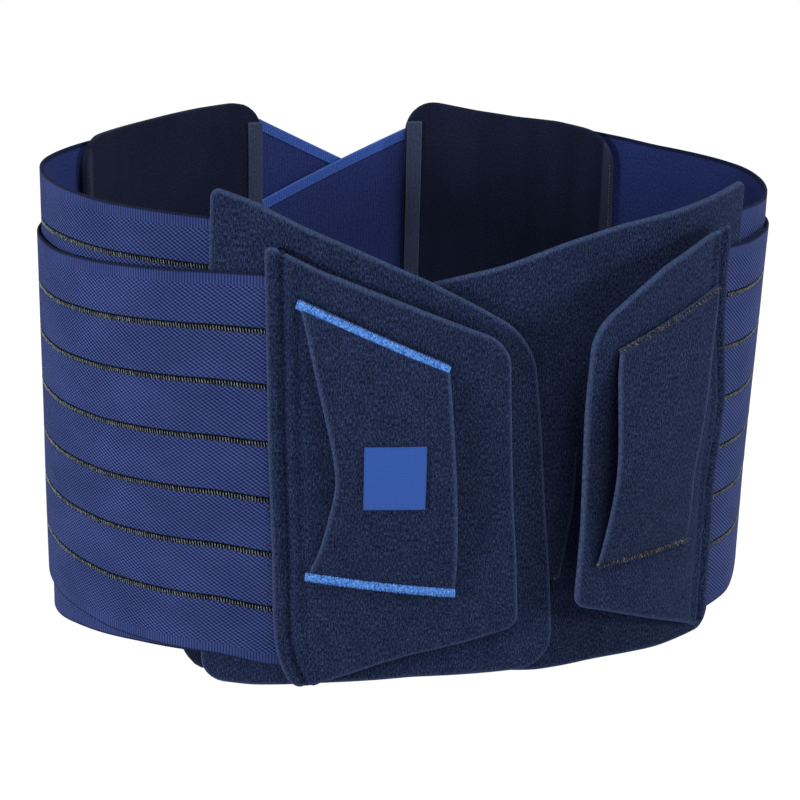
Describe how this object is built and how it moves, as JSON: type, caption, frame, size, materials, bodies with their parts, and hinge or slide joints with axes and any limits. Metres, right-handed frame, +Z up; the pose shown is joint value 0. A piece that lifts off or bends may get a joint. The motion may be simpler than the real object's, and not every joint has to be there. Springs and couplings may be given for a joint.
{
  "type": "lumbar support belt",
  "caption": "Closed elastic lumbar belt, V-cut at the front and back, with fleece front panels, pull tabs with finger pockets, and dark stay pads inside the back.",
  "frame": {"origin": "middle of the belt's box, on the surface that its lower edges stand on", "axes": "+Z up, along the wearer's body; the closure is at -Y and the stay pads at +Y; +X is to the right of someone looking at the closure"},
  "size_m": [0.3446, 0.2642, 0.2273],
  "materials": {
    "elastic": "ribbed blue elastic webbing with darker cross grooves",
    "fleece": "matte navy loop fleece with rounded edges",
    "lining": "matte dark navy knit",
    "back_elastic": "matte dark blue fine elastic",
    "binding": "blue folded elastic binding",
    "pad": "smooth near-black brushed knit",
    "channel_tape": "grey woven tape",
    "label": "satin blue woven label, bare"
  },
  "bodies": {
    "root": {"left_inner_band": "elastic", "right_inner_band": "elastic", "left_outer_strap": "elastic", "right_outer_strap": "elastic", "left_front_panel": "fleece", "right_front_panel": "fleece", "left_front_lining": "lining", "left_tab": "fleece", "right_tab": "fleece", "left_tab_pocket": "fleece", "right_tab_pocket": "fleece", "right_panel_pocket": "fleece", "label": "label", "left_back_panel": "back_elastic", "left_back_binding": "binding", "right_back_panel": "back_elastic", "right_back_binding": "binding", "left_stay_pad": "pad", "right_stay_pad": "pad", "left_stay_channel": "channel_tape", "right_stay_channel": "channel_tape"}
  },
  "joints": []
}
